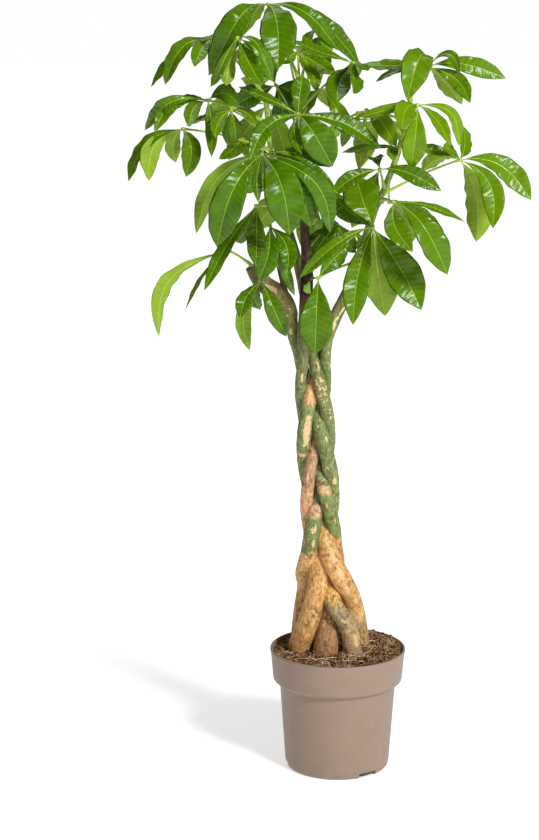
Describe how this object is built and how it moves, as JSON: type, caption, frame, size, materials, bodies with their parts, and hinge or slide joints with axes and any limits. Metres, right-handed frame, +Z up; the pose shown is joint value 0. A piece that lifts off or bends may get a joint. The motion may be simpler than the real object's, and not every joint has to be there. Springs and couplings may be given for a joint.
{
  "type": "potted money tree",
  "caption": "Potted money tree: braided trunks standing in peat in a taupe plastic nursery pot, under an airy crown of glossy, pointed, hand-shaped leaves on thin stalks.",
  "frame": {"origin": "middle of the pot's flat underside, where it rests on the floor", "axes": "+Z up along the pot's axis; the plant's front faces -Y and +X is to its right"},
  "size_m": [0.5951, 0.4216, 1.1792],
  "materials": {
    "pot_plastic": "matte taupe injection-moulded polypropylene, fine grained, lightly scuffed",
    "peat_soil": "dark brown lumpy peat with pale coir fibres",
    "trunk_bark": "thin bark, orange-tan below and green above, with pale scars and fine lengthwise cracks",
    "leaf": "glossy mid-green leaf with a pale raised midrib and side veins, lighter underneath"
  },
  "bodies": {
    "root": {"pot": "pot_plastic", "soil": "peat_soil", "trunk_1_middle": "trunk_bark", "trunk_2_left": "trunk_bark", "trunk_3_back_left": "trunk_bark", "trunk_4_front_right": "trunk_bark", "trunk_5_back_right": "trunk_bark", "leaf_01_upper_left": "leaf", "leaf_02_crown": "leaf", "leaf_03_upper_left_front": "leaf", "leaf_04_crown_back": "leaf", "leaf_05_crown_young": "leaf", "leaf_06_crown_right": "leaf", "leaf_07_upper_middle": "leaf", "leaf_08_upper_right": "leaf", "leaf_09_right_arching": "leaf", "leaf_10_right_inner": "leaf", "leaf_11_right_middle": "leaf", "leaf_12_far_right": "leaf", "leaf_13_right_front": "leaf", "leaf_14_lower_right_front": "leaf", "leaf_15_right_hanging": "leaf", "leaf_16_front_star": "leaf", "leaf_17_front_large": "leaf", "leaf_18_left_upper": "leaf", "leaf_19_left_inner": "leaf", "leaf_20_far_left": "leaf", "leaf_21_lower_left": "leaf", "leaf_22_left_middle": "leaf", "leaf_23_lower_left_front": "leaf", "leaf_24_lower_middle": "leaf", "leaf_25_lower_front": "leaf", "leaf_26_lower_back": "leaf", "leaf_27_behind_star": "leaf", "leaf_28_left_back": "leaf", "leaf_29_back_crown": "leaf", "leaf_30_back_left": "leaf", "leaf_31_back_right": "leaf", "leaf_32_back_middle": "leaf", "leaf_33_back_far_right": "leaf", "leaf_34_back_lower_left": "leaf", "leaf_35_back_lower_right": "leaf"}
  },
  "joints": []
}
